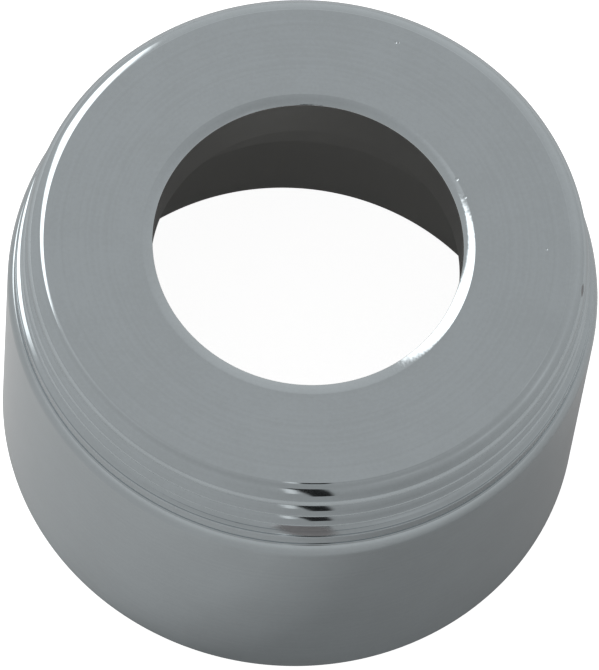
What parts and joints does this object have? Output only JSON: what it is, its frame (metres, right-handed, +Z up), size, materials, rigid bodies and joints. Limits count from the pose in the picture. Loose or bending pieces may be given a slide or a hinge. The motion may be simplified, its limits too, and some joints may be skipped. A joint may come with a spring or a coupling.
{
  "type": "stepped pipe adapter ring",
  "caption": "Round stepped pipe adapter ring in bright chrome: a plain skirt with two fine steps, a grooved neck and a flat cap with a central hole.",
  "frame": {"origin": "centre of the foot's face, where the ring rests", "axes": "+Z up along the bore axis, from the open socket to the cap; +X and +Y are any two square directions across the ring"},
  "size_m": [0.048, 0.048, 0.0307],
  "materials": {
    "chrome_plate": "bright chrome plate over turned brass, lightly nicked and stained"
  },
  "bodies": {
    "root": {"nipple_body": "chrome_plate"}
  },
  "joints": []
}
